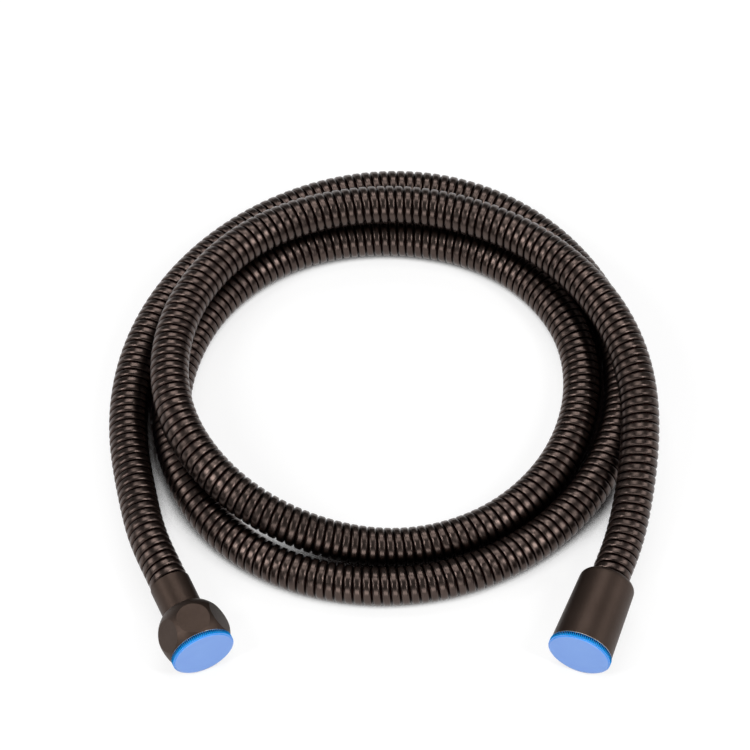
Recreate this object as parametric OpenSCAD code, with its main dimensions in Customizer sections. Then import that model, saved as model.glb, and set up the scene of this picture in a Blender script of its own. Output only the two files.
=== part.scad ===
// Flexible metal hose with a swivel nut and a protective plug at each end.
// It lies coiled on the floor. Millimetres, +Z up, origin on the floor.

/* [Hose] */
// Outer diameter of the armour over its ribs
hose_od = 14.5; // [14.2:0.1:14.7]
// Size of the coil, in diameters of the hose
coil_ratio = 6.9; // [6.9:0.05:8]
// Depth of the groove between two ribs
rib_depth = 0.6; // [0.3:0.1:0.8]
// Number of ribs along the armour
rib_count = 200; // [100:10:200]
// Thickness of the armour, from the ribs to its bore
casing_thickness = 1.85; // [1.7:0.05:2]
// Radial gap between the armour and the water tube
casing_gap = 0.5; // [0.3:0.05:0.6]
// Wall of the inner water tube
tube_wall = 1.4; // [1.2:0.05:1.6]

/* [Collars and tails] */
// How far the collars, on which the nuts turn, stand out over the armour
collar_height = 0.25; // [0.2:0.05:0.4]
// Wall of the collars
collar_wall = 1.1; // [0.9:0.05:1.2]
// Depth to which the armour is pushed into a collar
socket_depth = 6; // [4:0.5:7]
// Run from the armour's end to the flange of the tail in the hexagon nut
hex_neck_length = 10.6; // [8:0.1:12]
// Run from the armour's end to the flange of the tail in the conical nut
cone_neck_length = 7; // [5.5:0.1:8]
// Wall of the crimp rings that hold the water tube on its tails
crimp_wall = 0.8; // [0.6:0.05:0.85]
// Length of the crimp rings
crimp_length = 4.5; // [3:0.1:4.8]
// Length of the tail stems inside the water tube
stem_length = 14; // [10:0.5:18]
// Length of one barb on a stem
barb_length = 2.5; // [2:0.1:3]
// Height of the barbs over the stem
barb_height = 0.15; // [0.1:0.05:0.3]
// Radial gap between the barbs and the bore of the water tube
barb_gap = 0.45; // [0.35:0.05:0.6]
// Wall of the stems round the water way
stem_wall = 0.6; // [0.5:0.05:0.9]
// Thickness of the flange on the tails
flange_t = 1.6; // [1.2:0.1:2]

/* [Washers] */
// Hole of the rubber seal washers
seal_hole_d = 10; // [8:0.5:12]
// Thickness of the rubber seal washers
seal_t = 2; // [1.5:0.1:2.5]
// Thickness of the slip washers between nut and tail
slip_t = 0.5; // [0.4:0.05:0.8]
// Width of the ring of a slip washer
slip_width = 1.65; // [1.6:0.05:1.7]

/* [Threads] */
// Depth of the relief behind the half-inch pipe thread, from the crests
relief_depth = 0.285; // [0.25:0.005:0.35]
// Depth of the plain lead-in before the thread, from the crests
thread_depth = 1.285; // [1.2:0.005:1.4]
// Length of the plain lead-in
lead_in_length = 3.2; // [2.9:0.1:3.6]

/* [Hexagon nut] */
// Wall of the hexagon nut between a flat and the lead-in
hex_wall = 0.95; // [0.8:0.05:1.4]
// How far the ball that rounds the hexagon stands out over its flats
hex_crown_height = 1.45; // [1.3:0.05:1.7]
// Distance from the mouth of the hexagon nut to the middle of its ball
hex_ball_depth = 6.6; // [5.6:0.1:6.8]
// Width of the rim at the back of the hexagon nut
hex_rim_width = 1.4; // [0.8:0.05:1.6]
// Length of the thread in the hexagon nut
hex_thread = 6; // [5:0.1:6.2]

/* [Conical nut] */
// Wall of the conical nut between its mouth and the lead-in
cone_rim_width = 0.85; // [0.7:0.05:1.3]
// How much narrower the conical nut is at its back, on each side
cone_taper_width = 1.05; // [0:0.05:1.1]
// Radius of the rounded shoulder at the back
cone_shoulder_r = 2.7; // [2:0.1:3.2]
// Length of the conical nut
cone_length = 31; // [30:0.5:36]
// Length of the thread in the conical nut
cone_thread = 9; // [7:0.5:10]
// Gap round the collar in the hollow of the conical nut
cone_hollow_gap = 1.3; // [0.8:0.1:1.5]
// Thickness of the ring that bears on the slip washer
cone_bearing_t = 3; // [2:0.5:3.5]
// Thickness of the end wall that the hose passes
cone_wall_t = 2; // [1.5:0.5:3]

/* [Plugs] */
// How far a plug flange stands out over the mouth of the conical nut
plug_rim_width = 0.25; // [0.2:0.05:1]
// Thickness of the plug flange
plug_flange_t = 2.3; // [2:0.1:4]
// Rounding of the edge of the plug flange
plug_edge_r = 0.5; // [0.4:0.1:0.8]
// Number of grip teeth round the plug flange
plug_teeth = 96; // [60:4:110]
// Depth of the grooves between the grip teeth
plug_groove_depth = 0.25; // [0.15:0.05:0.35]
// Length of the plug shank
plug_shank_length = 2.8; // [1.5:0.1:2.8]
// Wall of the hollow plug shank
plug_wall = 1.6; // [1:0.1:2.5]

/* [Clearances] */
// Radial play of a nut on its collar
swivel_play = 0.05; // [0.02:0.01:0.1]
// Radial play of the hose in the end wall of the conical nut
hose_play = 0.4; // [0.3:0.05:0.6]
// Radial play of a plug shank in the lead-in
plug_play = 0.1; // [0.05:0.01:0.2]
// Gap between a plug flange and the mouth of its nut
plug_gap = 0.1; // [0.05:0.01:0.2]
// Radial gap round the soft water tube and round the armour's end
soft_gap = 0.3; // [0.25:0.01:0.35]
// Radial play of a seal washer behind the thread
seal_play = 0.2; // [0.1:0.05:0.3]
// Radial play of a slip washer behind the thread
slip_play = 0.4; // [0.2:0.05:0.5]
// Radial play of a tail's flange behind the thread
flange_play = 0.5; // [0.3:0.05:0.8]

/* [Hidden] */
$fn = 96;

// Middle of the coil and the armour's end in each fitting, as seen from
// above, in hundredths of the coil's size
coil_middle = [-0.8, 14.3];
cone_end_mark = [78.7, -82.7];
hex_end_mark = [-74.3, -82.2];
// Heading of each fitting, seen from above
cone_heading = -110.5;
hex_heading = -66;

// Marks along the coil: angle round its middle, then reach from its middle
// and lift above a hose that lies on the floor, both in hundredths of the
// coil's size. The coil's points are read off between them at even angles.
coil_marks = [
    [-25, 104.5, 9.5], [-15, 99.8, 14], [-5, 95.9, 16], [5, 91.8, 16],
    [20, 86.5, 15.5], [30, 83, 15], [45, 79, 14.5], [60, 75, 14.5],
    [75, 73, 15], [90, 71.5, 15], [105, 71.5, 15], [150, 76.5, 15],
    [180, 79, 15.5], [200, 80, 15.5], [210, 79.4, 15], [220, 78.9, 13],
    [240, 76.4, 8.5], [250, 74.8, 5], [260, 73.6, 2], [270, 73.5, 0],
    [300, 75, 0], [345, 76, 0], [375, 76.7, 0], [405, 73.1, 0],
    [435, 68.2, 0], [450, 67.2, 0], [465, 67.6, 0], [495, 70.3, 0],
    [530, 75.6, 0], [560, 82.2, 0], [590, 88.8, 0], [605, 89.8, 0],
    [675, 91, 0], [715, 92, 0], [745, 91.7, 0], [785, 92.6, 0],
    [800, 91.6, 0], [830, 88, 0], [845, 87.1, 0], [860, 87.4, 0],
    [880, 89.4, 0], [900, 93.5, 0], [915, 97.5, 0], [930, 103, 2.5]];
// Steps round the coil between its first and its last mark
coil_steps = 64;
// Distance between the points of the straight run at each end
straight_step = hose_od;
// Sides of the armour and of the water tube
sides = 8;
// Rings along the bore and the water tube, and points for the measuring
bore_rings = 80;
samples_per_step = 8;

hose_r = hose_od / 2;
coil_size = coil_ratio * hose_od;
coil_at = coil_middle * coil_size / 100;
cone_end_at = cone_end_mark * coil_size / 100;
hex_end_at = hex_end_mark * coil_size / 100;
casing_bore = hose_od - 2 * casing_thickness;
tube_od = casing_bore - 2 * casing_gap;
tube_bore_d = tube_od - 2 * tube_wall;
collar_od = hose_od + 2 * collar_height;
collar_bore = collar_od - 2 * collar_wall;
collar_hole_d = collar_od + 2 * swivel_play;
spigot_r = (collar_bore - soft_gap) / 2;
barb_d = tube_bore_d - 2 * barb_gap;
stem_d = barb_d - 2 * barb_height;
water_way_d = stem_d - 2 * stem_wall;
slip_d = collar_hole_d + 2 * slip_width;
relief_d = slip_d + 2 * slip_play;
seal_d = relief_d - 2 * seal_play;
flange_d = relief_d - 2 * flange_play;
thread_d = relief_d - 2 * relief_depth;
lead_in_d = thread_d + 2 * thread_depth;
stack_t = seal_t + flange_t + slip_t;
hex_flats = lead_in_d + 2 * hex_wall;
hex_ball_d = hex_flats + 2 * hex_crown_height;
hex_back_d = collar_hole_d + 2 * hex_rim_width;
hex_length = hex_ball_depth
    + sqrt(hex_ball_d * hex_ball_d - hex_back_d * hex_back_d) / 2;
cone_mouth_d = lead_in_d + 2 * cone_rim_width;
cone_back_d = cone_mouth_d - 2 * cone_taper_width;
cone_hollow_d = collar_od + 2 * cone_hollow_gap;
plug_d = cone_mouth_d + 2 * plug_rim_width;
axis_height = plug_d / 2;

// Heights along a fitting, from the end of the armour towards the mouth
hex_mouth = hex_neck_length + flange_t + seal_t + hex_thread + lead_in_length;
hex_back = hex_mouth - hex_length;
cone_mouth = cone_neck_length + flange_t + seal_t + cone_thread + lead_in_length;
cone_back = cone_mouth - cone_length;

// ---- Route of the hose ----

function heading(a) = [cos(a), sin(a), 0];

function raised(p) = [p.x, p.y, axis_height];

// Points of the straight run, starting at the end of the hose
function straight_run(end_at, a) =
    [for (i = [0 : 2]) raised(end_at) - i * straight_step * heading(a)];

function reversed(points) =
    [for (i = [len(points) - 1 : -1 : 0]) points[i]];

coil_reach = [for (m = coil_marks) [m[0], m[1] * coil_size / 100]];
coil_lift = [for (m = coil_marks) [m[0], m[2] * coil_size / 100]];
coil_start = coil_marks[0][0];
coil_turned = coil_marks[len(coil_marks) - 1][0] - coil_start;

function coil_point(a) =
    let (reach = lookup(a, coil_reach))
    [coil_at.x + reach * cos(a),
     coil_at.y + reach * sin(a),
     hose_r + lookup(a, coil_lift)];

coil_points = [for (i = [0 : coil_steps])
    coil_point(coil_start + coil_turned * i / coil_steps)];

inner_points = concat(
    straight_run(cone_end_at, cone_heading),
    coil_points,
    reversed(straight_run(hex_end_at, hex_heading)));

// One more point beyond each end makes the curve run to the very end
last = len(inner_points) - 1;
route = concat(
    [2 * inner_points[0] - inner_points[1]],
    inner_points,
    [2 * inner_points[last] - inner_points[last - 1]]);
spans = len(route) - 3;

// Point of a cubic B-spline at u, which runs from 0 to the number of spans
function route_at(u) =
    let (i = min(floor(u), spans - 1), t = u - i, s = 1 - t)
    (s * s * s * route[i]
     + (3 * t * t * t - 6 * t * t + 4) * route[i + 1]
     + (3 * s * s * s - 6 * s * s + 4) * route[i + 2]
     + t * t * t * route[i + 3]) / 6;

function direction_at(u) =
    let (h = 0.02, a = max(0, u - h), b = min(spans, u + h),
         d = route_at(b) - route_at(a))
    d / norm(d);

// Length run so far, paired with u, to place rings at even distances
sample_count = spans * samples_per_step;
samples = [for (i = [0 : sample_count]) route_at(i / samples_per_step)];
run_table = [for (i = 0, run = 0; i <= sample_count;
    run = run + (i < sample_count ? norm(samples[i + 1] - samples[i]) : 0),
    i = i + 1)
    [run, i / samples_per_step]];
hose_length = run_table[sample_count][0];

function u_at(run) = lookup(run, run_table);

// Ring of a tube, square to the route, with one corner straight down
function ring(p, d, r) =
    let (side = cross(d, [0, 0, 1]) / norm(cross(d, [0, 0, 1])),
         up = cross(side, d))
    [for (k = [0 : sides - 1])
        p + r * (sin(k * 360 / sides) * side - cos(k * 360 / sides) * up)];

function ring_at(run, r) = ring(route_at(u_at(run)), direction_at(u_at(run)), r);

// Triangles between the rings first and second, which each name the
// number of the first corner of a ring
function band(first, second) =
    [for (k = [0 : sides - 1], half = [0, 1])
        let (n = (k + 1) % sides)
        half == 0 ? [first + k, first + n, second + n]
                  : [first + k, second + n, second + k]];

// Closed skin through outer rings, then back through inner rings
module ringed_tube(outer_rings, inner_rings) {
    rings = concat(outer_rings, reversed(inner_rings));
    count = len(rings);
    corners = [for (r = rings, p = r) p];
    faces = [for (i = [0 : count - 1], f =
        band(i * sides, ((i + 1) % count) * sides)) f];
    polyhedron(points = corners, faces = faces);
}

// ---- Hose ----

// Runs of the grooves and crests between the two collars
rib_start = socket_depth;
rib_pitch = (hose_length - 2 * socket_depth) / rib_count;
groove_r = hose_r - rib_depth;

module casing() {
    spigot_start = [ring_at(0, spigot_r), ring_at(rib_start, spigot_r)];
    ribs = [for (i = [0 : 2 * rib_count])
        ring_at(rib_start + i * rib_pitch / 2,
            i % 2 == 0 ? groove_r : hose_r)];
    spigot_end = [ring_at(hose_length - rib_start, spigot_r),
        ring_at(hose_length, spigot_r)];
    bore = [for (i = [0 : bore_rings])
        ring_at(hose_length * i / bore_rings, casing_bore / 2)];
    color([0.16, 0.12, 0.11])
        ringed_tube(concat(spigot_start, ribs, spigot_end), bore);
}

// The water tube runs on past the armour to the flange of each tail
function tube_rings(r) = concat(
    [ring(raised(cone_end_at) + cone_neck_length * heading(cone_heading),
        -heading(cone_heading), r)],
    [for (i = [0 : bore_rings]) ring_at(hose_length * i / bore_rings, r)],
    [ring(raised(hex_end_at) + hex_neck_length * heading(hex_heading),
        heading(hex_heading), r)]);

module inner_tube() {
    color([0.85, 0.85, 0.82])
        ringed_tube(tube_rings(tube_od / 2), tube_rings(tube_bore_d / 2));
}

// ---- Placing of the fittings ----

// Turns +Z of a fitting to its heading, with 0 at the end of the armour
module at_end(end_at, a) {
    translate([end_at.x, end_at.y, axis_height])
        rotate([0, 90, a])
            children();
}

module at_hex() at_end(hex_end_at, hex_heading) children();

module at_cone() at_end(cone_end_at, cone_heading) children();

// ---- Pieces that both ends have ----

module pipe(from, to, outer_d, inner_d) {
    cut = 1;
    translate([0, 0, from])
        difference() {
            cylinder(h = to - from, d = outer_d);
            translate([0, 0, -cut])
                cylinder(h = to - from + 2 * cut, d = inner_d);
        }
}

module collar(seat) {
    color([0.27, 0.23, 0.2])
        pipe(-socket_depth, seat, collar_od, collar_bore);
}

module crimp_ring(seat) {
    inner_d = tube_od + 2 * soft_gap;
    color("silver")
        pipe(seat - crimp_length, seat, inner_d + 2 * crimp_wall, inner_d);
}

// Flanged tail with three barbs on its stem
module tail(seat) {
    barbs = 3;
    water_r = water_way_d / 2;
    stem_r = stem_d / 2;
    barb_r = barb_d / 2;
    tip_r = stem_r - stem_wall / 3;
    tip = stem_wall - stem_length;
    stem_profile = concat(
        [[water_r, -stem_length], [tip_r, -stem_length], [stem_r, tip]],
        [for (i = [0 : barbs - 1], p = [[stem_r, 0.1], [barb_r, 0.7]])
            [p[0], tip + (i + p[1]) * barb_length]],
        [[stem_r, tip + (barbs + 0.1) * barb_length],
         [stem_r, 0], [flange_d / 2, 0], [flange_d / 2, flange_t],
         [water_r, flange_t]]);
    color("goldenrod")
        translate([0, 0, seat])
            rotate_extrude()
                polygon(stem_profile);
}

module slip_washer(seat) {
    color("ivory")
        pipe(seat - slip_t, seat, slip_d, collar_hole_d);
}

module seal_washer(seat) {
    color([0.12, 0.12, 0.12])
        pipe(seat + flange_t, seat + flange_t + seal_t, seal_d, seal_hole_d);
}

// Hollow for thread, washers and collar, cut from a nut's body
module nut_hollow(mouth, back, thread_length) {
    cut = 1;
    thread_top = mouth - lead_in_length;
    thread_end = thread_top - thread_length;
    translate([0, 0, thread_top]) cylinder(h = lead_in_length + cut, d = lead_in_d);
    translate([0, 0, thread_end]) cylinder(h = thread_length + cut, d = thread_d);
    translate([0, 0, thread_end - stack_t]) cylinder(h = stack_t, d = relief_d);
    translate([0, 0, back - cut])
        cylinder(h = thread_end - back, d = collar_hole_d);
}

// Outline of the flange with its grip teeth, one of which points along +X
module grip_outline() {
    step = 180 / plug_teeth;
    polygon([for (i = [0 : 2 * plug_teeth - 1])
        (plug_d / 2 - plug_groove_depth * (i % 2)) * [cos(i * step), sin(i * step)]]);
}

// A toothed flange with a round face in front and a hollow shank behind
module plug(mouth) {
    shank_r = lead_in_d / 2 - plug_play;
    face_r = plug_d / 2 - 2 * plug_groove_depth;
    top = plug_gap + plug_flange_t;
    edge = [for (a = [0 : 15 : 90])
        [face_r - plug_edge_r + plug_edge_r * cos(a),
         top - plug_edge_r + plug_edge_r * sin(a)]];
    color([0.18, 0.5, 0.95])
        translate([0, 0, mouth]) {
            translate([0, 0, plug_gap])
                linear_extrude(plug_flange_t - plug_edge_r)
                    grip_outline();
            rotate_extrude()
                polygon(concat(
                    [[0, plug_gap], [shank_r - plug_wall, plug_gap],
                     [shank_r - plug_wall, -plug_shank_length],
                     [shank_r, -plug_shank_length], [shank_r, plug_gap],
                     [face_r, plug_gap]],
                    edge, [[0, top]]));
        }
}

// ---- Nuts ----

// A ball cut by a hexagon, which leaves a round flat on each side
module hex_nut() {
    color([0.3, 0.25, 0.22])
        at_hex() difference() {
            intersection() {
                translate([0, 0, hex_mouth - hex_ball_depth])
                    sphere(d = hex_ball_d);
                translate([0, 0, hex_back])
                    rotate([0, 0, 30])
                        cylinder(h = hex_length, d = hex_flats / cos(30), $fn = 6);
            }
            nut_hollow(hex_mouth, hex_back, hex_thread);
        }
}

// A slight taper with a rounded shoulder at its back
module cone_nut() {
    back_r = cone_back_d / 2;
    shoulder = [for (a = [0 : 15 : 90])
        [back_r - cone_shoulder_r + cone_shoulder_r * sin(a),
         cone_back + cone_shoulder_r - cone_shoulder_r * cos(a)]];
    bearing = cone_neck_length - slip_t - cone_bearing_t;
    cut = 1;
    color([0.3, 0.25, 0.22])
        at_cone() difference() {
            rotate_extrude()
                polygon(concat([[0, cone_back]], shoulder,
                    [[cone_mouth_d / 2, cone_mouth], [0, cone_mouth]]));
            nut_hollow(cone_mouth, cone_back, cone_thread);
            translate([0, 0, cone_back + cone_wall_t])
                cylinder(h = bearing - cone_back - cone_wall_t, d = cone_hollow_d);
            translate([0, 0, cone_back - cut])
                cylinder(h = cone_wall_t + 2 * cut, d = hose_od + 2 * hose_play);
        }
}

module hex_collar() at_hex() collar(hex_neck_length);
module hex_tail() at_hex() tail(hex_neck_length);
module hex_crimp_ring() at_hex() crimp_ring(hex_neck_length);
module hex_slip_washer() at_hex() slip_washer(hex_neck_length);
module hex_seal_washer() at_hex() seal_washer(hex_neck_length);
module hex_plug() at_hex() plug(hex_mouth);
module cone_collar() at_cone() collar(cone_neck_length);
module cone_tail() at_cone() tail(cone_neck_length);
module cone_crimp_ring() at_cone() crimp_ring(cone_neck_length);
module cone_slip_washer() at_cone() slip_washer(cone_neck_length);
module cone_seal_washer() at_cone() seal_washer(cone_neck_length);
module cone_plug() at_cone() plug(cone_mouth);

// Least gap of the hose to itself, between points that lie far apart on it
far_apart = 8 * samples_per_step;
function least_gap() = min([for (i = [0 : 2 : sample_count - far_apart])
    min([for (j = [i + far_apart : sample_count])
        norm(samples[i] - samples[j])])]) - hose_od;

echo(hose_length = hose_length, least_gap = least_gap());

casing();
inner_tube();
hex_collar();
hex_tail();
hex_crimp_ring();
hex_slip_washer();
hex_seal_washer();
hex_nut();
hex_plug();
cone_collar();
cone_tail();
cone_crimp_ring();
cone_slip_washer();
cone_seal_washer();
cone_nut();
cone_plug();
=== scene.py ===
import bpy
import math
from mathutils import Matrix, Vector


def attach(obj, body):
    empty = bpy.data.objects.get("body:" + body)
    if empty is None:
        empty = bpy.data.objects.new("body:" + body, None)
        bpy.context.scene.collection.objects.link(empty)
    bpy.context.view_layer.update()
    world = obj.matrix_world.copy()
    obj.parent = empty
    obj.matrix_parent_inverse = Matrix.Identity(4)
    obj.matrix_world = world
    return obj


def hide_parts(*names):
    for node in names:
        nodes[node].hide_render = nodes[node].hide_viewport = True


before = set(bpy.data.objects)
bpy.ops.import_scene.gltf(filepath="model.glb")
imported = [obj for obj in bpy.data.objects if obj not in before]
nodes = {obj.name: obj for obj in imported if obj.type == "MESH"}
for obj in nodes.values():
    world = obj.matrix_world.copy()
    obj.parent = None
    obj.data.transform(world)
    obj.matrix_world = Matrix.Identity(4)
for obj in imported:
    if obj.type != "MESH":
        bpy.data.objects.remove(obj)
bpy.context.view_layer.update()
scene = bpy.context.scene
print("frame loaded,", len(nodes), "nodes")


# camera

cameraSetup = {
    "target": (-0.0028, 0.0223, 0.0),
    "elevation": 56.0,      # degrees over the floor, looking along +Y
    "distance": 1.550,
    "lens": 197.5,
    "sensor": 36.0,
    "clipEnd": 20.0,
}


def makeCamera(setup):
    data = bpy.data.cameras.new("camera")
    data.lens = setup["lens"]
    data.sensor_width = setup["sensor"]
    data.clip_end = setup["clipEnd"]
    camera = bpy.data.objects.new("camera", data)
    rise = math.radians(setup["elevation"])
    away = Vector((0.0, -math.cos(rise), math.sin(rise))) * setup["distance"]
    camera.location = Vector(setup["target"]) + away
    camera.rotation_euler = (math.pi / 2 - rise, 0.0, 0.0)
    scene.collection.objects.link(camera)
    scene.camera = camera


makeCamera(cameraSetup)


# node helpers

def addNode(tree, kind, **settings):
    node = tree.nodes.new(kind)
    for name, value in settings.items():
        setattr(node, name, value)
    return node


def feed(tree, socket, value):
    if isinstance(value, bpy.types.NodeSocket):
        tree.links.new(value, socket)
    else:
        socket.default_value = value


def mathNode(tree, kind, operation, values):
    node = addNode(tree, kind, operation=operation)
    for socket, value in zip(node.inputs, values):
        feed(tree, socket, value)
    return node


def calc(tree, operation, *values):
    return mathNode(tree, "ShaderNodeMath", operation, values).outputs[0]


def calcVector(tree, operation, *values):
    return mathNode(tree, "ShaderNodeVectorMath", operation, values).outputs[0]


# a number out of vectors: their dot product, or the length of one
def measure(tree, operation, *values):
    return mathNode(tree, "ShaderNodeVectorMath", operation, values).outputs["Value"]


def scaleVector(tree, vector, factor):
    node = addNode(tree, "ShaderNodeVectorMath", operation="SCALE")
    feed(tree, node.inputs[0], vector)
    feed(tree, node.inputs["Scale"], factor)
    return node.outputs[0]


def shapeCurve(tree, value, points):
    node = addNode(tree, "ShaderNodeFloatCurve")
    curve = node.mapping.curves[0]
    while len(curve.points) < len(points):
        curve.points.new(0.5, 0.5)
    for point, place in zip(curve.points, points):
        point.location = place
        point.handle_type = "VECTOR"
    node.mapping.update()
    feed(tree, node.inputs["Value"], value)
    return node.outputs[0]


# maps one range to another, the first being the middle of a noise unless it is given
def spread(tree, value, low, high, fromLow=0.3, fromHigh=0.7):
    node = addNode(tree, "ShaderNodeMapRange")
    for name, given in (("Value", value), ("From Min", fromLow), ("From Max", fromHigh),
                        ("To Min", low), ("To Max", high)):
        feed(tree, node.inputs[name], given)
    return node.outputs["Result"]


# route of the hose, as the CAD model lays it

hoseRoute = {
    "radius": 0.00725,
    "coilSize": 0.0010005,      # one hundredth of the coil's size
    "middle": (-0.8, 14.3),
    "coneEnd": (78.7, -82.7),
    "hexEnd": (-74.3, -82.2),
    "coneHeading": -110.5,
    "hexHeading": -66.0,
    "axisHeight": 0.0117,
    "straightStep": 0.0145,
    "straightPoints": 3,
    "coilSteps": 64,
    "samplesPerStep": 24,
    # angle round the middle, then reach and lift in hundredths
    "marks": [
        (-25, 104.5, 9.5), (-15, 99.8, 14), (-5, 95.9, 16), (5, 91.8, 16),
        (20, 86.5, 15.5), (30, 83, 15), (45, 79, 14.5), (60, 75, 14.5),
        (75, 73, 15), (90, 71.5, 15), (105, 71.5, 15), (150, 76.5, 15),
        (180, 79, 15.5), (200, 80, 15.5), (210, 79.4, 15), (220, 78.9, 13),
        (240, 76.4, 8.5), (250, 74.8, 5), (260, 73.6, 2), (270, 73.5, 0),
        (300, 75, 0), (345, 76, 0), (375, 76.7, 0), (405, 73.1, 0),
        (435, 68.2, 0), (450, 67.2, 0), (465, 67.6, 0), (495, 70.3, 0),
        (530, 75.6, 0), (560, 82.2, 0), (590, 88.8, 0), (605, 89.8, 0),
        (675, 91, 0), (715, 92, 0), (745, 91.7, 0), (785, 92.6, 0),
        (800, 91.6, 0), (830, 88, 0), (845, 87.1, 0), (860, 87.4, 0),
        (880, 89.4, 0), (900, 93.5, 0), (915, 97.5, 0), (930, 103, 2.5)],
}


def readOff(table, at):
    for low, high in zip(table, table[1:]):
        if at <= high[0]:
            share = (at - low[0]) / (high[0] - low[0])
            return [a + (b - a) * share for a, b in zip(low[1:], high[1:])]
    return list(table[-1][1:])


def coilPoints(route):
    unit, marks = route["coilSize"], route["marks"]
    first, last = marks[0][0], marks[-1][0]
    points = []
    for step in range(route["coilSteps"] + 1):
        angle = first + (last - first) * step / route["coilSteps"]
        reach, lift = readOff(marks, angle)
        turn = math.radians(angle)
        points.append(Vector((
            (route["middle"][0] + reach * math.cos(turn)) * unit,
            (route["middle"][1] + reach * math.sin(turn)) * unit,
            route["radius"] + lift * unit)))
    return points


def headingVector(degrees):
    turn = math.radians(degrees)
    return Vector((math.cos(turn), math.sin(turn), 0.0))


def straightRun(route, end, heading):
    back = headingVector(heading) * -route["straightStep"]
    start = Vector((end[0] * route["coilSize"], end[1] * route["coilSize"],
                    route["axisHeight"]))
    return [start + back * i for i in range(route["straightPoints"])]


# uniform cubic B-spline through both straight runs and the coil between them
def hosePath(route):
    inner = (straightRun(route, route["coneEnd"], route["coneHeading"])
             + coilPoints(route)
             + straightRun(route, route["hexEnd"], route["hexHeading"])[::-1])
    guide = [2 * inner[0] - inner[1]] + inner + [2 * inner[-1] - inner[-2]]
    path = []
    for i in range(len(guide) - 3):
        a, b, c, d = guide[i:i + 4]
        for sample in range(route["samplesPerStep"]):
            t = sample / route["samplesPerStep"]
            s = 1 - t
            path.append((s ** 3 * a + (3 * t ** 3 - 6 * t * t + 4) * b
                         + (3 * s ** 3 - 6 * s * s + 4) * c + t ** 3 * d) / 6)
    path.append((guide[-3] + 4 * guide[-2] + guide[-1]) / 6)
    return path


hoseLine = hosePath(hoseRoute)

# from the armour's end, the way to the flange of the tail and to the nut's mouth
hoseEnds = {
    "hex": {"place": hoseLine[-1], "ahead": headingVector(hoseRoute["hexHeading"]),
            "neck": 0.0106, "mouth": 0.0234},
    "cone": {"place": hoseLine[0], "ahead": headingVector(hoseRoute["coneHeading"]),
             "neck": 0.0070, "mouth": 0.0228},
}


# materials

def newMaterial(name):
    material = bpy.data.materials.new(name)
    material.use_nodes = True
    tree = material.node_tree
    return material, tree, tree.nodes["Principled BSDF"]


noiseDetail = 3.0


def objectNoise(tree, scale):
    noise = addNode(tree, "ShaderNodeTexNoise")
    feed(tree, noise.inputs["Vector"], addNode(tree, "ShaderNodeTexCoord").outputs["Object"])
    noise.inputs["Scale"].default_value = scale
    noise.inputs["Detail"].default_value = noiseDetail
    return noise.outputs["Fac"]


def blendColours(tree, factor, first, second):
    mix = addNode(tree, "ShaderNodeMix", data_type="RGBA")
    for name, value in (("Factor", factor), ("A", first), ("B", second)):
        feed(tree, mix.inputs[name], value)
    return mix.outputs["Result"]


def mottle(tree, scale, first, second):
    return blendColours(tree, spread(tree, objectNoise(tree, scale), 0.0, 1.0), first, second)


def addBump(tree, shader, height, strength, distance):
    bump = addNode(tree, "ShaderNodeBump")
    bump.inputs["Strength"].default_value = strength
    bump.inputs["Distance"].default_value = distance
    feed(tree, bump.inputs["Height"], height)
    tree.links.new(bump.outputs["Normal"], shader.inputs["Normal"])


armourFinish = {
    "band": (0.068, 0.050, 0.044, 1.0),
    "bandWarm": (0.092, 0.067, 0.058, 1.0),
    "toneScale": 220.0,
    # the seam colour is the dark slit between strip turns and painted shade down the groove
    # walls
    "seamSlitAndShade": (0.010, 0.003, 0.002, 1.0),
    "seamShadeRange": (0.1, 0.75),   # depth in the seam where its dark, the slit between strip turns with painted shade down the groove, starts and is full
    "metallic": 1.0,
    "roughness": (0.27, 0.30),
    "grain": 1300.0,
    "grainShare": 0.05,
    # distance from the middle of a band, then height of its two rolled edges
    "rolls": [(0.0, 0.2), (0.2, 0.3), (0.42, 1.0), (0.62, 0.1), (1.0, 0.0)],
    "bump": (1.0, 0.00006),     # strength and height
}


def armourMetal(finish):
    material, tree, shader = newMaterial("bronzeArmour")
    depth = addNode(tree, "ShaderNodeAttribute", attribute_name="seamDepth")
    # painted shade: the groove darkens towards its bottom, on top of the dark of the slit
    # itself
    seamSlitAndShade = spread(tree, depth.outputs["Fac"], 0.0, 1.0, *finish["seamShadeRange"])
    band = mottle(tree, finish["toneScale"], finish["band"], finish["bandWarm"])
    feed(tree, shader.inputs["Base Color"],
         blendColours(tree, seamSlitAndShade, band, finish["seamSlitAndShade"]))
    grain = objectNoise(tree, finish["grain"])
    feed(tree, shader.inputs["Roughness"], spread(tree, grain, *finish["roughness"]))
    shader.inputs["Metallic"].default_value = finish["metallic"]
    across = addNode(tree, "ShaderNodeAttribute", attribute_name="bandAcross")
    rolls = shapeCurve(tree, across.outputs["Fac"], finish["rolls"])
    addBump(tree, shader, calc(tree, "MULTIPLY_ADD", grain, finish["grainShare"], rolls),
            *finish["bump"])
    return material


# a point of a fitting and its face's direction, measured from the axis of the hose's end
def aboutAxis(tree, end):
    place = addNode(tree, "ShaderNodeTexCoord").outputs["Object"]
    off = calcVector(tree, "SUBTRACT", place, end["place"])
    # the normal comes in world space and has to turn with the nut
    local = addNode(tree, "ShaderNodeVectorTransform", vector_type="NORMAL",
                    convert_from="WORLD", convert_to="OBJECT")
    feed(tree, local.inputs[0], addNode(tree, "ShaderNodeNewGeometry").outputs["True Normal"])
    normal = local.outputs[0]
    along = measure(tree, "DOT_PRODUCT", off, end["ahead"])
    facing = measure(tree, "DOT_PRODUCT", normal, end["ahead"])
    return off, normal, along, facing


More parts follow.
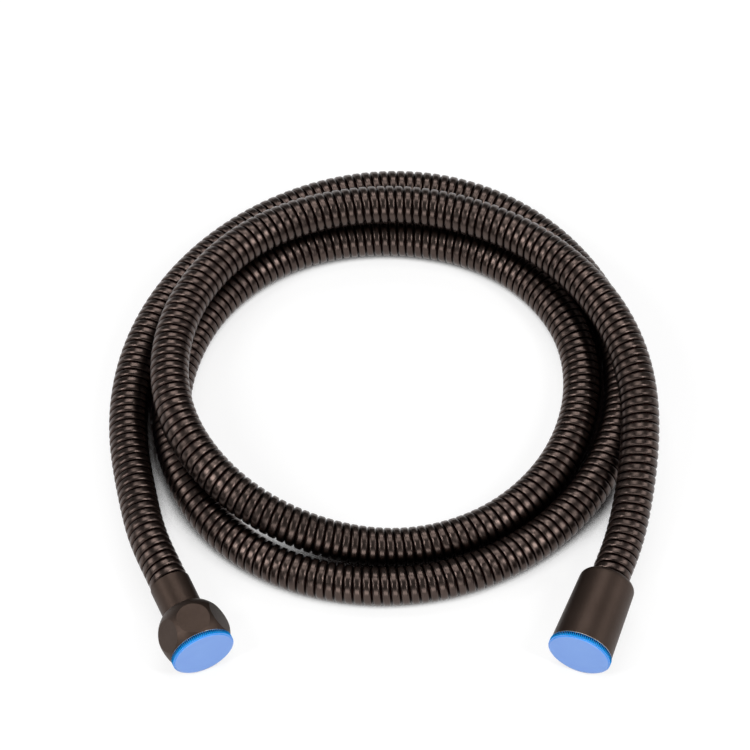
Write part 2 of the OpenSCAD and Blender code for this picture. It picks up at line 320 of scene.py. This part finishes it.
fittingFinish = {
    "body": (0.078, 0.055, 0.045, 1.0),
    "bodyDark": (0.066, 0.046, 0.037, 1.0),
    "toneScale": 90.0,
    "metallic": 1.0,
    "roughness": (0.46, 0.54),
    "grain": 1400.0,
    "bump": (0.25, 0.00003),
    # the inside of a nut carries no finish and shows bare metal; its forward face and the
    # edge of its mouth take the same pale colour as a painted highlight
    "bareMetalAndHighlight": (0.62, 0.60, 0.56, 1.0),
    "bareMetalAndHighlightDull": (0.50, 0.47, 0.42, 1.0),
    "insideReach": -0.002,
    "endFacing": 0.9,
    "mouthEdge": 0.00018,
}


def bareAndHighlightPlaces(tree, finish, end):
    off, normal, along, facing = aboutAxis(tree, end)
    outward = calc(tree, "SUBTRACT", measure(tree, "DOT_PRODUCT", off, normal),
                   calc(tree, "MULTIPLY", along, facing))
    inside = calc(tree, "MAXIMUM", calc(tree, "LESS_THAN", outward, finish["insideReach"]),
                  calc(tree, "GREATER_THAN", facing, finish["endFacing"]))
    # forward faces and the mouth's edge carry a painted highlight, the inside of the nut bare
    # metal
    return calc(tree, "MAXIMUM", inside,
                calc(tree, "GREATER_THAN", along, end["mouth"] - finish["mouthEdge"]))


def fittingMetal(name, finish, end=None):
    material, tree, shader = newMaterial(name)
    grain = objectNoise(tree, finish["grain"])
    colour = mottle(tree, finish["toneScale"], finish["body"], finish["bodyDark"])
    # pale colour: painted highlight at the nut's mouth, bare metal inside the nut
    if end:
        bareMetalAndHighlight = blendColours(tree, grain, finish["bareMetalAndHighlight"], finish["bareMetalAndHighlightDull"])
        colour = blendColours(tree, bareAndHighlightPlaces(tree, finish, end), colour, bareMetalAndHighlight)
    feed(tree, shader.inputs["Base Color"], colour)
    feed(tree, shader.inputs["Roughness"], spread(tree, grain, *finish["roughness"]))
    shader.inputs["Metallic"].default_value = finish["metallic"]
    addBump(tree, shader, grain, *finish["bump"])
    return material


plugFinish = {
    # the face's colour is the plug's own blue lightened by a painted sheen, the reflection
    # the face shows; the rim keeps the plain blue
    "face": (0.23, 0.44, 0.97, 1.0),
    "faceDeep": (0.21, 0.41, 0.95, 1.0),
    "toneScale": 120.0,
    "faceFacing": (0.3, 0.8),   # turn towards the face where its colour, lightened by painted sheen, starts and is full
    "faceGloss": 0.5,
    "rim": (0.008, 0.38, 0.98, 1.0),
    "rimFacing": 0.5,
    "rimGloss": 0.08,
    # grooves of the grip lie nearer to the plug's axis than its teeth
    # painted shade darkens the grooves of the grip
    "groove": (0.001, 0.004, 0.05, 1.0),
    "toothRadius": 0.01169,
    "grooveRadius": 0.01161,
    # past the nut's mouth the painted shade of the grooves fades between these, to a share of
    # its dark; it is deepest next to the nut as painted shadow of the nut
    "fadeStart": 0.0006,
    "fadeEnd": 0.0019,
    "fadeShare": 0.1,
    "roughness": 0.32,
    "grain": 2500.0,
    "bump": (0.05, 0.00003),
}


# painted shade in the grip's grooves, deepest next to the nut as painted shadow of the nut
def grooveDark(tree, finish, end, off, along, facing):
    reach = measure(tree, "LENGTH", calcVector(tree, "CROSS_PRODUCT", off, end["ahead"]))
    groove = spread(tree, reach, 1.0, 0.0, finish["grooveRadius"], finish["toothRadius"])
    fade = spread(tree, along, 1.0, finish["fadeShare"],
                  end["mouth"] + finish["fadeStart"], end["mouth"] + finish["fadeEnd"])
    onGrip = calc(tree, "MULTIPLY", calc(tree, "GREATER_THAN", along, end["mouth"]),
                  calc(tree, "LESS_THAN", calc(tree, "ABSOLUTE", facing),
                       finish["rimFacing"]))
    return calc(tree, "MULTIPLY", calc(tree, "MULTIPLY", groove, fade), onGrip)


def plugPlastic(name, finish, end):
    material, tree, shader = newMaterial(name)
    off, _, along, facing = aboutAxis(tree, end)
    face = mottle(tree, finish["toneScale"], finish["face"], finish["faceDeep"])
    rim = blendColours(tree, grooveDark(tree, finish, end, off, along, facing),
                       finish["rim"], finish["groove"])
    # painted sheen: faces turned along the axis take the lighter face colour
    onFace = spread(tree, facing, 0.0, 1.0, *finish["faceFacing"])
    feed(tree, shader.inputs["Base Color"], blendColours(tree, onFace, rim, face))
    feed(tree, shader.inputs["Specular IOR Level"],
         spread(tree, onFace, finish["rimGloss"], finish["faceGloss"], 0.0, 1.0))
    shader.inputs["Roughness"].default_value = finish["roughness"]
    addBump(tree, shader, objectNoise(tree, finish["grain"]), *finish["bump"])
    return material


hiddenFinish = {
    "toneScale": 300.0,
    "roughnessSpread": 0.08,
    # name, two colours, metallic, roughness
    "tail": ("turnedBrass", (0.72, 0.50, 0.20, 1), (0.62, 0.42, 0.16, 1), 1.0, 0.28),
    "crimp_ring": ("crimpAluminium", (0.70, 0.70, 0.72, 1), (0.60, 0.60, 0.62, 1), 1.0, 0.35),
    "slip_washer": ("whiteNylon", (0.80, 0.79, 0.75, 1), (0.74, 0.73, 0.69, 1), 0.0, 0.45),
    "seal_washer": ("blackRubber", (0.020, 0.020, 0.020, 1), (0.030, 0.030, 0.029, 1),
                    0.0, 0.65),
    "tube": ("tubePlastic", (0.75, 0.75, 0.72, 1), (0.70, 0.70, 0.67, 1), 0.0, 0.40),
}


def hiddenMaterial(finish, part):
    name, colour, secondColour, metallic, roughness = finish[part]
    material, tree, shader = newMaterial(name)
    tone = spread(tree, objectNoise(tree, finish["toneScale"]), 0.0, 1.0)
    feed(tree, shader.inputs["Base Color"], blendColours(tree, tone, colour, secondColour))
    feed(tree, shader.inputs["Roughness"],
         spread(tree, tone, roughness, roughness + finish["roughnessSpread"], 0.0, 1.0))
    shader.inputs["Metallic"].default_value = metallic
    return material


materials = {
    "armour": armourMetal(armourFinish),
    "collar": fittingMetal("bronzeFitting", fittingFinish),
    "hex_nut": fittingMetal("bronzeHexNut", fittingFinish, hoseEnds["hex"]),
    "cone_nut": fittingMetal("bronzeConeNut", fittingFinish, hoseEnds["cone"]),
    "hex_plug": plugPlastic("bluePlasticHex", plugFinish, hoseEnds["hex"]),
    "cone_plug": plugPlastic("bluePlasticCone", plugFinish, hoseEnds["cone"]),
}
for part in ("tail", "crimp_ring", "slip_washer", "seal_washer", "tube"):
    materials[part] = hiddenMaterial(hiddenFinish, part)
print("materials made")


# armour: one strip wound round the route, turn against turn

armourSizes = {
    "Radius": 0.00720,
    "Pitch": 0.00327,
    "Groove Depth": 0.00100,
    "Bore Radius": 0.0054,
    "Spigot Radius": 0.00625,
    "Socket Depth": 0.006,
    "Socket Ramp": 0.0003,
    "Sides": 21,
    "Bore Rings": 120,
    "Weld Distance": 0.00001,
}
# place across one band, then share of the groove's depth left over the bottom
bandSection = [(0.0, 0.0), (0.045, 0.15), (0.09, 0.55), (0.15, 0.80), (0.28, 0.98),
               (0.5, 0.96), (0.72, 1.0), (0.85, 0.80), (0.91, 0.55), (0.955, 0.15),
               (1.0, 0.0)]


def treeInputs(tree, sizes):
    for name, value in sizes.items():
        kind = "NodeSocketInt" if isinstance(value, int) else "NodeSocketFloat"
        socket = tree.interface.new_socket(name, in_out="INPUT", socket_type=kind)
        socket.default_value = value


def passOn(tree, kind, flow, socket="Geometry", **values):
    node = addNode(tree, kind)
    tree.links.new(flow, node.inputs[socket])
    for name, value in values.items():
        feed(tree, node.inputs[name], value)
    return node.outputs[0]


def placeRing(tree, route, run, angle, radius):
    sample = addNode(tree, "GeometryNodeSampleCurve", mode="LENGTH")
    tree.links.new(route, sample.inputs["Curves"])
    feed(tree, sample.inputs["Length"], run)
    middle, ahead, side = [sample.outputs[n] for n in ("Position", "Tangent", "Normal")]
    over = calcVector(tree, "CROSS_PRODUCT", ahead, side)
    out = calcVector(tree, "ADD",
                     scaleVector(tree, side, calc(tree, "COSINE", angle)),
                     scaleVector(tree, over, calc(tree, "SINE", angle)))
    return calcVector(tree, "ADD", middle, scaleVector(tree, out, radius))


def gridSheet(tree, columns, rows):
    sheet = addNode(tree, "GeometryNodeMeshGrid")
    feed(tree, sheet.inputs["Vertices X"], columns)
    feed(tree, sheet.inputs["Vertices Y"], rows)
    index = addNode(tree, "GeometryNodeInputIndex").outputs[0]
    column = calc(tree, "FLOOR", calc(tree, "DIVIDE", calc(tree, "ADD", index, 0.5), rows))
    row = calc(tree, "SUBTRACT", index, calc(tree, "MULTIPLY", column, rows))
    return sheet.outputs["Mesh"], column, row


def onRoute(tree, run, length):
    return calc(tree, "MINIMUM", calc(tree, "MAXIMUM", run, 0.0), length)


def fullTurns(tree, share):
    return calc(tree, "MULTIPLY", share, 2 * math.pi)


def storeNumber(tree, geometry, name, value):
    store = addNode(tree, "GeometryNodeStoreNamedAttribute",
                    data_type="FLOAT", domain="POINT")
    store.inputs["Name"].default_value = name
    tree.links.new(geometry, store.inputs["Geometry"])
    feed(tree, store.inputs["Value"], value)
    return store.outputs["Geometry"]


# columns run on round the hose, rows lie across one band
def woundSkin(tree, given, route, length, section):
    pitch, sides, spigot = given["Pitch"], given["Sides"], given["Spigot Radius"]
    turns = calc(tree, "ADD", calc(tree, "CEIL", calc(tree, "DIVIDE", length, pitch)), 1.0)
    columns = calc(tree, "ADD", calc(tree, "MULTIPLY", turns, sides), 1.0)
    sheet, column, row = gridSheet(tree, columns, len(section))
    last = len(section) - 1.0
    step = calc(tree, "DIVIDE", row, last)
    share, level = [
        shapeCurve(tree, step, [(i / last, point[k]) for i, point in enumerate(section)])
        for k in (0, 1)]
    turned = calc(tree, "DIVIDE", column, sides)
    run = calc(tree, "SUBTRACT", calc(tree, "ADD", turned, share), 1.0)
    run = onRoute(tree, calc(tree, "MULTIPLY", run, pitch), length)
    depth = calc(tree, "SUBTRACT", 1.0, level)
    ribbed = calc(tree, "SUBTRACT", given["Radius"],
                  calc(tree, "MULTIPLY", depth, given["Groove Depth"]))
    # inside the two collars the strip is plain
    fromEnd = calc(tree, "MINIMUM", run, calc(tree, "SUBTRACT", length, run))
    free = spread(tree, fromEnd, 0.0, 1.0, given["Socket Depth"],
                  calc(tree, "ADD", given["Socket Depth"], given["Socket Ramp"]))
    radius = calc(tree, "MULTIPLY_ADD", calc(tree, "SUBTRACT", ribbed, spigot), free, spigot)
    skin = passOn(tree, "GeometryNodeSetPosition", sheet,
                  Position=placeRing(tree, route, run, fullTurns(tree, turned), radius))
    across = calc(tree, "MULTIPLY",
                  calc(tree, "ABSOLUTE", calc(tree, "SUBTRACT", share, 0.5)), 2.0)
    skin = storeNumber(tree, skin, "seamDepth", depth)
    return storeNumber(tree, skin, "bandAcross", across)


# a plain tube, with a ring at each end that meets the wound skin
def boreSkin(tree, given, route, length):
    rings, sides, bore = given["Bore Rings"], given["Sides"], given["Bore Radius"]
    tube, column, row = gridSheet(tree, calc(tree, "ADD", sides, 1.0),
                                  calc(tree, "ADD", rings, 3.0))
    inward = calc(tree, "SUBTRACT", row, 1.0)
    run = onRoute(tree, calc(tree, "MULTIPLY", calc(tree, "DIVIDE", inward, rings), length),
                  length)
    atRim = calc(tree, "MAXIMUM", calc(tree, "LESS_THAN", inward, -0.5),
                 calc(tree, "GREATER_THAN", inward, calc(tree, "ADD", rings, 0.5)))
    radius = calc(tree, "MULTIPLY_ADD",
                  calc(tree, "SUBTRACT", given["Spigot Radius"], bore), atRim, bore)
    angle = fullTurns(tree, calc(tree, "DIVIDE", column, sides))
    skin = passOn(tree, "GeometryNodeSetPosition", tube,
                  Position=placeRing(tree, route, run, angle, radius))
    return passOn(tree, "GeometryNodeFlipFaces", skin, "Mesh")


def armourTree(sizes, section, material):
    tree = bpy.data.node_groups.new("woundArmour", "GeometryNodeTree")
    for way in ("INPUT", "OUTPUT"):
        tree.interface.new_socket("Geometry", in_out=way, socket_type="NodeSocketGeometry")
    treeInputs(tree, sizes)
    given = addNode(tree, "NodeGroupInput").outputs
    upright = addNode(tree, "GeometryNodeSetCurveNormal", mode="Z_UP")
    tree.links.new(passOn(tree, "GeometryNodeMeshToCurve", given["Geometry"], "Mesh"),
                   upright.inputs["Curve"])
    route = upright.outputs["Curve"]
    length = passOn(tree, "GeometryNodeCurveLength", route, "Curve")
    skin = woundSkin(tree, given, route, length, section)
    both = addNode(tree, "GeometryNodeJoinGeometry")
    for part in (boreSkin(tree, given, route, length), skin):
        tree.links.new(part, both.inputs["Geometry"])
    flow = passOn(tree, "GeometryNodeMergeByDistance", both.outputs["Geometry"],
                  Distance=given["Weld Distance"])
    flow = passOn(tree, "GeometryNodeSetShadeSmooth", flow)
    flow = passOn(tree, "GeometryNodeRealizeInstances", flow)
    flow = passOn(tree, "GeometryNodeSetMaterial", flow, Material=material)
    tree.links.new(flow, addNode(tree, "NodeGroupOutput").inputs["Geometry"])
    return tree


def growAlong(points, name, tree, sizes):
    line = bpy.data.meshes.new(name + "Route")
    line.from_pydata(points, [(i, i + 1) for i in range(len(points) - 1)], [])
    guide = bpy.data.objects.new(name + "Route", line)
    scene.collection.objects.link(guide)
    modifier = guide.modifiers.new(name, "NODES")
    modifier.node_group = tree
    for socket in tree.interface.items_tree:
        if socket.in_out == "INPUT" and socket.name in sizes:
            modifier[socket.identifier] = sizes[socket.name]
    graph = bpy.context.evaluated_depsgraph_get()
    mesh = bpy.data.meshes.new_from_object(guide.evaluated_get(graph), depsgraph=graph)
    mesh.name = name
    piece = bpy.data.objects.new(name, mesh)
    scene.collection.objects.link(piece)
    bpy.data.objects.remove(guide)
    return piece


armour = growAlong(hoseLine, "armour",
                   armourTree(armourSizes, bandSection, materials["armour"]), armourSizes)
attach(armour, "hose")
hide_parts("casing")
print("armour wound,", sum(len(f.vertices) - 2 for f in armour.data.polygons), "triangles")


# water tube inside the armour

tubeSizes = {
    "outerRadius": 0.0049,
    "innerRadius": 0.0035,
    "sides": 16,
    "routeStep": 4,
}


def ringCorners(points, radius, sides):
    corners = []
    for i, point in enumerate(points):
        ahead = (points[min(i + 1, len(points) - 1)] - points[max(i - 1, 0)]).normalized()
        side = ahead.cross(Vector((0, 0, 1))).normalized()
        over = ahead.cross(side)
        for k in range(sides):
            turn = 2 * math.pi * k / sides
            corners.append(point + radius * (math.cos(turn) * side + math.sin(turn) * over))
    return corners


def tubeMesh(points, sizes):
    rings, sides, faces = len(points), sizes["sides"], []
    corners = (ringCorners(points, sizes["outerRadius"], sides)
               + ringCorners(points, sizes["innerRadius"], sides))
    inside = rings * sides
    for start in (0, inside):
        for i in range(rings - 1):
            for k in range(sides):
                a, b = start + i * sides + k, start + i * sides + (k + 1) % sides
                face = (a, b, b + sides, a + sides)
                faces.append(face if start == 0 else face[::-1])
    for i in (0, rings - 1):
        for k in range(sides):
            a, b = i * sides + k, i * sides + (k + 1) % sides
            face = (b, a, a + inside, b + inside)
            faces.append(face if i == 0 else face[::-1])
    mesh = bpy.data.meshes.new("waterTube")
    mesh.from_pydata(corners, [], faces)
    mesh.shade_smooth()
    return mesh


def flangePlace(end):
    return end["place"] + end["ahead"] * end["neck"]


tubeLine = ([flangePlace(hoseEnds["cone"])] + hoseLine[::tubeSizes["routeStep"]]
            + [flangePlace(hoseEnds["hex"])])
waterTube = bpy.data.objects.new("waterTube", tubeMesh(tubeLine, tubeSizes))
waterTube.data.materials.append(materials["tube"])
scene.collection.objects.link(waterTube)
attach(waterTube, "hose")
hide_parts("inner_tube")
print("water tube laid")


# fittings keep their CAD shapes

fittingParts = ("collar", "tail", "crimp_ring", "slip_washer", "seal_washer", "nut", "plug")
for end in ("hex", "cone"):
    for part in fittingParts:
        node = nodes[end + "_" + part]
        node.material_slots[0].material = materials.get(end + "_" + part,
                                                        materials.get(part))

# floor, world and lamps

studio = {
    "floorSize": 6.0,
    "floorColour": (0.32, 0.32, 0.32, 1.0),
    # painted shade colour for floor that the hose closes in
    "paintedShadeColour": (0.03, 0.018, 0.015, 1.0),
    "floorLift": 0.74,
    # openness of the floor from which it is lifted, and takes its own colour; below these the
    # lift fades and painted shade darkens it
    "shelterReach": 0.05,
    "shelterSamples": 16,
    "liftRange": (0.21, 0.35),
    "colourRange": (0.17, 0.35),
    "worldColour": (1, 1, 1, 1),
    "worldStrength": 0.15,
    "lamps": [   # place, width, depth, watts
        ((-1.30, -0.70, 1.40), 0.35, 1.00, 13.0),
        ((1.30, -0.70, 1.40), 0.35, 1.00, 14.0),
        ((-1.70, 0.25, 0.95), 0.60, 0.80, 6.0),
        ((1.70, 0.25, 0.95), 0.60, 0.80, 5.0),
        ((0.0, 0.45, 2.00), 1.00, 0.45, 5.0),
        ((0.0, 1.25, 1.70), 1.20, 0.40, 8.0),
        ((0.0, -1.95, 0.60), 2.00, 0.80, 16.0)],
}


def floorMaterial(setup):
    material = bpy.data.materials.new("paleFloor")
    material.use_nodes = True
    tree = material.node_tree
    tree.nodes.clear()
    light = addNode(tree, "ShaderNodeLightPath").outputs
    seen = calc(tree, "MAXIMUM", light["Is Camera Ray"],
                calc(tree, "MAXIMUM", light["Is Glossy Ray"], light["Is Transmission Ray"]))
    shelter = addNode(tree, "ShaderNodeAmbientOcclusion", samples=setup["shelterSamples"])
    shelter.inputs["Distance"].default_value = setup["shelterReach"]
    openness = shelter.outputs["AO"]
    # painted shade: where the hose closes the floor in, the lift fades and the floor turns to
    # the shade colour
    lift = spread(tree, openness, 0.0, setup["floorLift"], *setup["liftRange"])
    colour = blendColours(tree, spread(tree, openness, 0.0, 1.0, *setup["colourRange"]),
                          setup["paintedShadeColour"], setup["floorColour"])
    matt = addNode(tree, "ShaderNodeBsdfDiffuse")
    feed(tree, matt.inputs["Color"], colour)
    glow = addNode(tree, "ShaderNodeEmission")
    feed(tree, glow.inputs["Strength"], calc(tree, "MULTIPLY", seen, lift))
    both = addNode(tree, "ShaderNodeAddShader")
    for socket, shader in zip(both.inputs, (matt, glow)):
        tree.links.new(shader.outputs[0], socket)
    result = addNode(tree, "ShaderNodeOutputMaterial")
    tree.links.new(both.outputs[0], result.inputs["Surface"])
    return material


def makeFloor(setup):
    half = setup["floorSize"] / 2
    mesh = bpy.data.meshes.new("floor")
    mesh.from_pydata([(-half, -half, 0), (half, -half, 0), (half, half, 0), (-half, half, 0)],
                     [], [(0, 1, 2, 3)])
    mesh.materials.append(floorMaterial(setup))
    floor = bpy.data.objects.new("floor", mesh)
    scene.collection.objects.link(floor)


def makeWorld(setup):
    world = bpy.data.worlds.new("studioWorld")
    scene.world = world
    world.use_nodes = True
    back = world.node_tree.nodes["Background"]
    back.inputs["Color"].default_value = setup["worldColour"]
    back.inputs["Strength"].default_value = setup["worldStrength"]


def makeLamps(setup):
    for place, width, depth, watts in setup["lamps"]:
        data = bpy.data.lights.new("softbox", "AREA")
        data.shape = "RECTANGLE"
        data.size = width
        data.size_y = depth
        data.energy = watts
        lamp = bpy.data.objects.new("softbox", data)
        lamp.location = place
        lamp.rotation_euler = (-Vector(place)).to_track_quat("-Z", "Y").to_euler()
        scene.collection.objects.link(lamp)


makeFloor(studio)
makeWorld(studio)
makeLamps(studio)
scene.view_settings.view_transform = "Standard"
print("studio lit")
